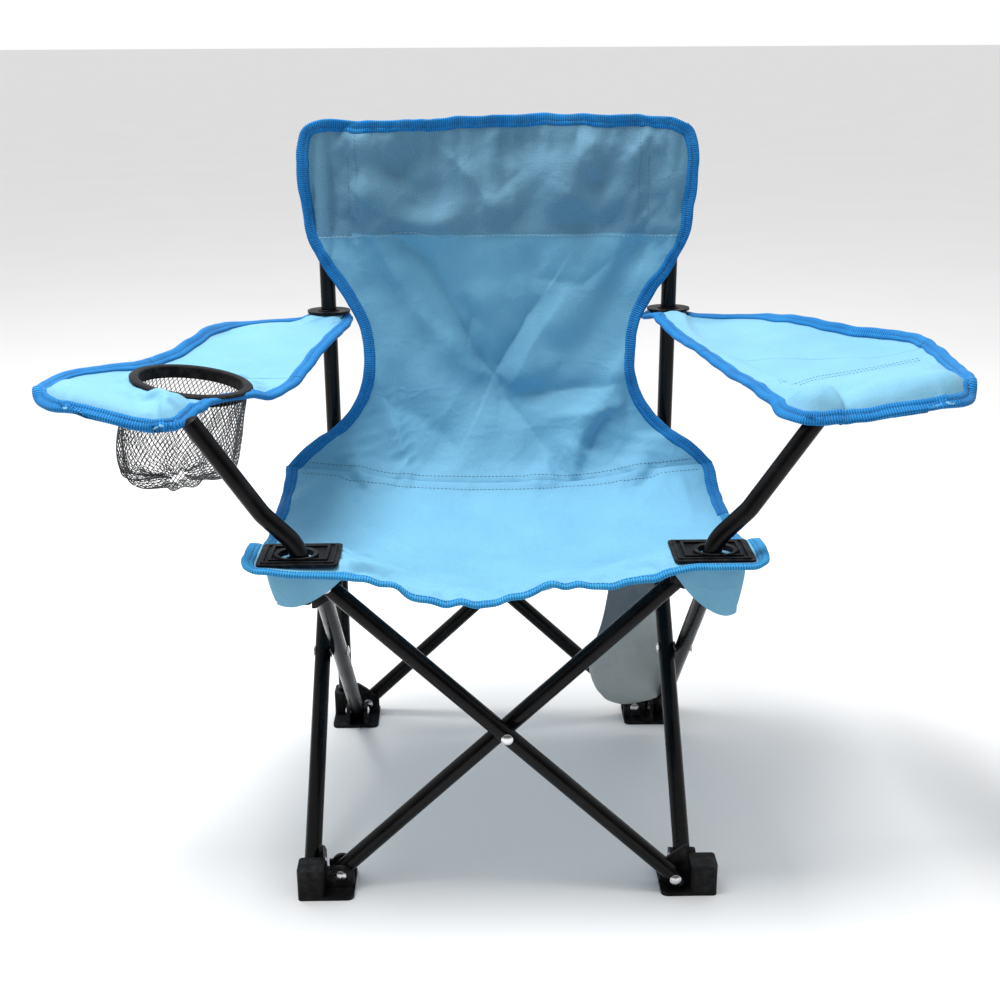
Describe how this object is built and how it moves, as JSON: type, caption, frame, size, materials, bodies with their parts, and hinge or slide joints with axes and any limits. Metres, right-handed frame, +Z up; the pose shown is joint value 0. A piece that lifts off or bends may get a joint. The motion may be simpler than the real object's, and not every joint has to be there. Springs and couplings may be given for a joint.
{
  "type": "folding camp chair",
  "caption": "Small folding camp chair with a scissor tube frame, a fabric sling seat and back, two fabric armrests and a mesh cup holder.",
  "frame": {"origin": "on the floor at the centre of the footprint of the four feet", "axes": "+X to the viewer's right seen from the front, +Y to the back, +Z up"},
  "size_m": [0.6422, 0.3315, 0.55],
  "materials": {
    "fabric_blue": "woven polyester, light sky blue",
    "binding_blue": "ribbed grosgrain tape, mid blue",
    "frame_black": "gloss black enamel on steel tube",
    "plastic_black": "moulded black plastic, fine grain",
    "rivet_steel": "nickel plated",
    "mesh_black": "open black polyester mesh",
    "pouch_white": "white coated reverse of the fabric"
  },
  "bodies": {
    "rear_left_leg": {"rear_left_foot": "plastic_black", "rear_left_foot_rivets": "rivet_steel", "rear_post_left": "frame_black", "rear_post_cap_left": "plastic_black", "arm_eyelet_left": "plastic_black", "arm_clip_left": "plastic_black", "back_panel": "fabric_blue"},
    "rear_brace_outer": {"rear_brace_outer": "frame_black"},
    "rear_brace_inner": {"rear_brace_inner": "frame_black", "rear_scissor_rivet": "rivet_steel", "rear_spacer": "plastic_black"},
    "rear_right_leg": {"rear_right_foot": "plastic_black", "rear_right_foot_rivets": "rivet_steel", "rear_post_right": "frame_black", "rear_post_cap_right": "plastic_black", "arm_eyelet_right": "plastic_black", "arm_clip_right": "plastic_black", "storage_pouch": "pouch_white"},
    "rear_left_collar": {"rear_left_collar": "plastic_black", "rear_left_collar_rivets": "rivet_steel"},
    "rear_right_collar": {"rear_right_collar": "plastic_black", "rear_right_collar_rivets": "rivet_steel"},
    "left_brace_inner": {"left_brace_inner": "frame_black", "left_scissor_rivet": "rivet_steel", "left_spacer": "plastic_black"},
    "left_brace_outer": {"left_brace_outer": "frame_black"},
    "front_left_foot": {"front_left_foot": "plastic_black", "front_left_foot_rivets": "rivet_steel"},
    "front_left_hub": {"front_left_hub": "plastic_black", "front_left_hub_rivets": "rivet_steel", "arm_post_left": "frame_black", "arm_post_cap_left": "plastic_black", "seat_plate_left": "plastic_black", "corner_pouch_left": "fabric_blue"},
    "right_brace_outer": {"right_brace_outer": "frame_black"},
    "right_brace_inner": {"right_brace_inner": "frame_black", "right_scissor_rivet": "rivet_steel", "right_spacer": "plastic_black"},
    "front_right_foot": {"front_right_foot": "plastic_black", "front_right_foot_rivets": "rivet_steel"},
    "front_right_hub": {"front_right_hub": "plastic_black", "front_right_hub_rivets": "rivet_steel", "arm_post_right": "frame_black", "arm_post_cap_right": "plastic_black", "seat_plate_right": "plastic_black", "corner_pouch_right": "fabric_blue"},
    "front_brace_inner": {"front_brace_inner": "frame_black", "front_scissor_rivet": "rivet_steel", "front_spacer": "plastic_black"},
    "front_brace_outer": {"front_brace_outer": "frame_black"},
    "seat_front": {"seat_front": "fabric_blue"},
    "seat_rear": {"seat_rear": "fabric_blue"},
    "armrest_left_front": {"armrest_left_front": "fabric_blue", "cup_ring": "plastic_black", "cup_pouch": "mesh_black"},
    "armrest_left_rear": {"armrest_left_rear": "fabric_blue"},
    "armrest_right_front": {"armrest_right_front": "fabric_blue"},
    "armrest_right_rear": {"armrest_right_rear": "fabric_blue"}
  },
  "joints": [
    {"name": "fold", "type": "hinge", "parent": "rear_left_leg", "child": "rear_brace_outer", "pos_m": [-0.1265, 0.1495, 0.013], "axis": [0, -1, 0], "range_deg": [0, 41], "deforming": ["back_panel", "seat_front", "seat_rear", "armrest_left_front", "armrest_left_rear", "armrest_right_front", "armrest_right_rear", "corner_pouch_left", "corner_pouch_right", "storage_pouch", "cup_pouch"]},
    {"name": "rear_scissor", "type": "hinge", "parent": "rear_brace_outer", "child": "rear_brace_inner", "pos_m": [0, 0.1425, 0.133], "axis": [0, 1, 0], "range_deg": [0, 82.01]},
    {"name": "rear_right_leg_pivot", "type": "hinge", "parent": "rear_brace_inner", "child": "rear_right_leg", "pos_m": [0.1265, 0.1355, 0.013], "axis": [0, -1, 0], "range_deg": [0, 41.01]},
    {"name": "rear_left_collar_pivot", "type": "hinge", "parent": "rear_brace_inner", "child": "rear_left_collar", "pos_m": [-0.1265, 0.1355, 0.253], "axis": [0, -1, 0], "range_deg": [0, 41.01]},
    {"name": "rear_right_collar_pivot", "type": "hinge", "parent": "rear_brace_outer", "child": "rear_right_collar", "pos_m": [0.1265, 0.1495, 0.253], "axis": [0, 1, 0], "range_deg": [0, 41.01]},
    {"name": "left_brace_pivot", "type": "hinge", "parent": "rear_left_leg", "child": "left_brace_inner", "pos_m": [-0.1355, 0.1265, 0.013], "axis": [-1, 0, 0], "range_deg": [0, 41.01]},
    {"name": "left_scissor", "type": "hinge", "parent": "left_brace_inner", "child": "left_brace_outer", "pos_m": [-0.1425, 0, 0.133], "axis": [1, 0, 0], "range_deg": [0, 82.01]},
    {"name": "front_left_foot_pivot", "type": "hinge", "parent": "left_brace_outer", "child": "front_left_foot", "pos_m": [-0.1495, -0.1265, 0.013], "axis": [-1, 0, 0], "range_deg": [0, 41.01]},
    {"name": "front_left_hub_pivot", "type": "hinge", "parent": "left_brace_inner", "child": "front_left_hub", "pos_m": [-0.1355, -0.1265, 0.253], "axis": [1, 0, 0], "range_deg": [0, 41.01]},
    {"name": "right_brace_pivot", "type": "hinge", "parent": "rear_right_leg", "child": "right_brace_outer", "pos_m": [0.1495, 0.1265, 0.013], "axis": [-1, 0, 0], "range_deg": [0, 41.01]},
    {"name": "right_scissor", "type": "hinge", "parent": "right_brace_outer", "child": "right_brace_inner", "pos_m": [0.1425, 0, 0.133], "axis": [1, 0, 0], "range_deg": [0, 82.01]},
    {"name": "front_right_foot_pivot", "type": "hinge", "parent": "right_brace_inner", "child": "front_right_foot", "pos_m": [0.1355, -0.1265, 0.013], "axis": [-1, 0, 0], "range_deg": [0, 41.01]},
    {"name": "front_right_hub_pivot", "type": "hinge", "parent": "right_brace_outer", "child": "front_right_hub", "pos_m": [0.1495, -0.1265, 0.253], "axis": [1, 0, 0], "range_deg": [0, 41.01]},
    {"name": "front_brace_pivot", "type": "hinge", "parent": "front_left_foot", "child": "front_brace_inner", "pos_m": [-0.1265, -0.1355, 0.013], "axis": [0, -1, 0], "range_deg": [0, 41.01]},
    {"name": "front_scissor", "type": "hinge", "parent": "front_brace_inner", "child": "front_brace_outer", "pos_m": [0, -0.1425, 0.133], "axis": [0, 1, 0], "range_deg": [0, 82.01]},
    {"name": "seat_front_fold", "type": "hinge", "parent": "front_left_hub", "child": "seat_front", "pos_m": [0, -0.15, 0.268], "axis": [-1, 0, 0], "range_deg": [0, 85.37]},
    {"name": "seat_rear_fold", "type": "hinge", "parent": "rear_left_leg", "child": "seat_rear", "pos_m": [0, 0.1, 0.262], "axis": [1, 0, 0], "range_deg": [0, 36.3]},
    {"name": "armrest_left_front_fold", "type": "hinge", "parent": "front_left_hub", "child": "armrest_left_front", "pos_m": [-0.211, -0.144, 0.364], "axis": [-1, 0, 0], "range_deg": [0, 137.68]},
    {"name": "armrest_left_rear_fold", "type": "hinge", "parent": "rear_left_leg", "child": "armrest_left_rear", "pos_m": [-0.148, 0.148, 0.387], "axis": [1, 0, 0], "range_deg": [0, 3.46]},
    {"name": "armrest_right_front_fold", "type": "hinge", "parent": "front_right_hub", "child": "armrest_right_front", "pos_m": [0.211, -0.144, 0.364], "axis": [-1, 0, 0], "range_deg": [0, 137.68]},
    {"name": "armrest_right_rear_fold", "type": "hinge", "parent": "rear_right_leg", "child": "armrest_right_rear", "pos_m": [0.148, 0.148, 0.387], "axis": [1, 0, 0], "range_deg": [0, 3.46]}
  ],
  "couplings": [
    {"joint": "rear_scissor", "follows": "fold", "ratio": 2},
    {"joint": "rear_right_leg_pivot", "follows": "fold", "ratio": 1},
    {"joint": "rear_left_collar_pivot", "follows": "fold", "ratio": 1},
    {"joint": "rear_right_collar_pivot", "follows": "fold", "ratio": 1},
    {"joint": "left_brace_pivot", "follows": "fold", "ratio": 1},
    {"joint": "left_scissor", "follows": "fold", "ratio": 2},
    {"joint": "front_left_foot_pivot", "follows": "fold", "ratio": 1},
    {"joint": "front_left_hub_pivot", "follows": "fold", "ratio": 1},
    {"joint": "right_brace_pivot", "follows": "fold", "ratio": 1},
    {"joint": "right_scissor", "follows": "fold", "ratio": 2},
    {"joint": "front_right_foot_pivot", "follows": "fold", "ratio": 1},
    {"joint": "front_right_hub_pivot", "follows": "fold", "ratio": 1},
    {"joint": "front_brace_pivot", "follows": "fold", "ratio": 1},
    {"joint": "front_scissor", "follows": "fold", "ratio": 2},
    {"joint": "seat_front_fold", "follows": "fold", "ratio": 2.082},
    {"joint": "seat_rear_fold", "follows": "fold", "ratio": 0.8852},
    {"joint": "armrest_left_front_fold", "follows": "fold", "ratio": 3.3577},
    {"joint": "armrest_left_rear_fold", "follows": "fold", "ratio": 0.0841},
    {"joint": "armrest_right_front_fold", "follows": "fold", "ratio": 3.3577},
    {"joint": "armrest_right_rear_fold", "follows": "fold", "ratio": 0.0841}
  ]
}
